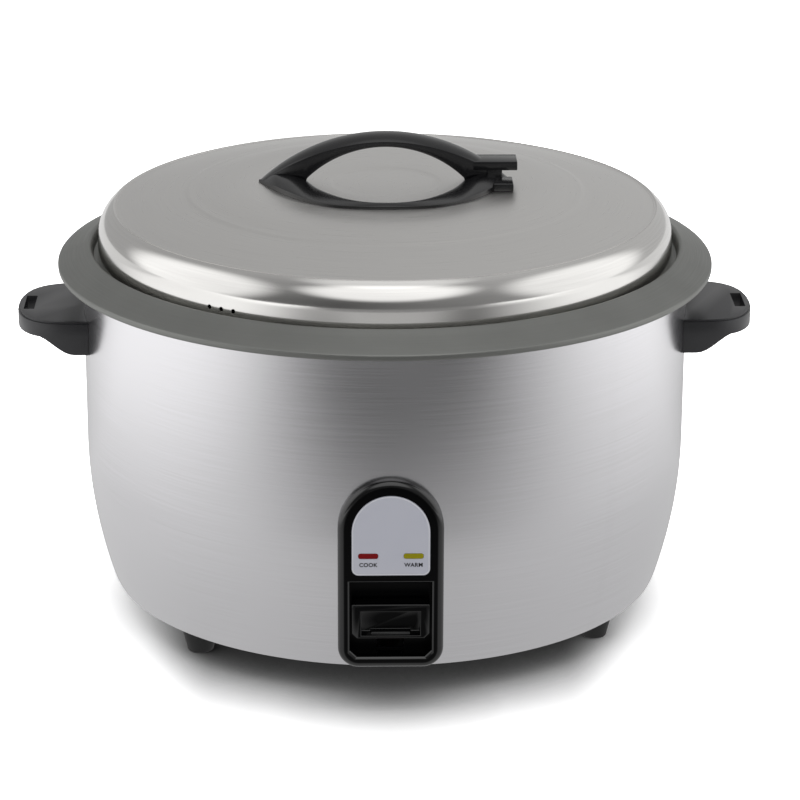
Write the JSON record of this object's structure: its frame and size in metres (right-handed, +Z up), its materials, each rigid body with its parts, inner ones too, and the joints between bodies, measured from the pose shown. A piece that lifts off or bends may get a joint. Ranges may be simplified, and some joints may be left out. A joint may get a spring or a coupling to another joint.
{
  "type": "rice cooker",
  "caption": "Drum rice cooker with lift-out flanged pot, loose domed lid with a loop handle, side handles, and an arched front panel with lamps and a cook lever.",
  "frame": {"origin": "on the cooker's vertical axis, on the plane its feet stand on", "axes": "+Z up, -Y towards the control panel, +X towards the right-hand side handle seen from the front"},
  "size_m": [0.451, 0.3998, 0.2979],
  "materials": {
    "shell_steel": "brushed, satin",
    "lid_steel": "brushed, polished shoulder",
    "pot_coat": "matt dark grey coating",
    "zinc_steel": "zinc plated",
    "sheet_steel": "plain sheet",
    "cast_aluminium": "cast, machined face",
    "heater_steel": "heat darkened",
    "spring_steel": "drawn wire",
    "ferrite": "sintered",
    "black_gloss": "gloss",
    "black_satin": "satin",
    "foot_rubber": "matt",
    "grey_label": "printed sheet",
    "red_lens": "clear tinted",
    "yellow_lens": "clear tinted",
    "lamp_glass": "clear",
    "steatite": "matt",
    "pin_brass": "bright",
    "switch_red": "gloss",
    "wire_brown": "insulation",
    "wire_blue": "insulation",
    "wire_green": "insulation"
  },
  "bodies": {
    "base": {"drum_shell": "shell_steel", "base_plate": "sheet_steel", "inner_liner": "sheet_steel", "foot_front_left": "foot_rubber", "foot_front_right": "foot_rubber", "foot_rear_left": "foot_rubber", "foot_rear_right": "foot_rubber", "foot_screws": "zinc_steel", "foot_nuts": "zinc_steel", "side_handle_left": "black_satin", "side_handle_right": "black_satin", "side_handle_screws": "zinc_steel", "side_handle_washers": "zinc_steel", "control_panel": "black_gloss", "label_plate": "grey_label", "cook_lens": "red_lens", "warm_lens": "yellow_lens", "cook_lamp": "lamp_glass", "warm_lamp": "lamp_glass", "panel_screws": "zinc_steel", "heating_plate": "cast_aluminium", "heater_tube": "heater_steel", "plate_legs": "zinc_steel", "plate_screws": "zinc_steel", "sensor_bracket": "zinc_steel", "sensor_bracket_screws": "zinc_steel", "sensor_spring": "spring_steel", "magnet_spring": "spring_steel", "lever_pin": "zinc_steel", "lever_bracket": "zinc_steel", "lever_bracket_screws": "zinc_steel", "switch_body": "black_satin", "warm_thermostat": "steatite", "thermal_fuse": "pin_brass", "fuse_clip": "zinc_steel", "inlet_housing": "black_satin", "inlet_pins": "pin_brass", "inlet_screws": "zinc_steel", "live_wire": "wire_brown", "neutral_wire": "wire_blue", "earth_wire": "wire_green"},
    "pot": {"inner_pot": "pot_coat"},
    "lid": {"lid": "lid_steel", "lid_handle": "black_gloss", "lid_handle_screws": "zinc_steel", "lid_handle_washers": "zinc_steel"},
    "lever": {"lever_paddle": "black_gloss", "lever_arm": "zinc_steel"},
    "magnet_plunger": {"magnet": "ferrite", "magnet_rod": "zinc_steel"},
    "thermostat": {"sensor_cap": "cast_aluminium", "sensor_ferrite": "ferrite"},
    "switch_plunger": {"switch_button": "switch_red"}
  },
  "joints": [
    {"name": "pot_lift", "type": "slide", "parent": "base", "child": "pot", "axis": [0, 0, 1], "range_m": [0, 0.2]},
    {"name": "lid_lift", "type": "slide", "parent": "pot", "child": "lid", "axis": [0, 0, 1], "range_m": [0, 0.15]},
    {"name": "lever_press", "type": "hinge", "parent": "base", "child": "lever", "pos_m": [0, -0.09, 0.031], "axis": [1, 0, 0], "range_deg": [0, 6], "stiffness_Nm_per_rad": 1.5, "springref_deg": -2.86},
    {"name": "magnet_lift", "type": "slide", "parent": "base", "child": "magnet_plunger", "axis": [0, 0, 1], "range_m": [0, 0.00988], "deforming": ["magnet_spring"]},
    {"name": "sensor_press", "type": "slide", "parent": "base", "child": "thermostat", "axis": [0, 0, 1], "range_m": [-0.002, 0], "stiffness_N_per_m": 400, "springref_m": 0.002, "deforming": ["sensor_spring"]},
    {"name": "button_press", "type": "slide", "parent": "base", "child": "switch_plunger", "axis": [0, 0, 1], "range_m": [-0.0024, 0]}
  ],
  "couplings": [
    {"joint": "magnet_lift", "follows": "lever_press", "m_per_rad": 0.0943},
    {"joint": "button_press", "follows": "lever_press", "m_per_rad": -0.0228}
  ]
}
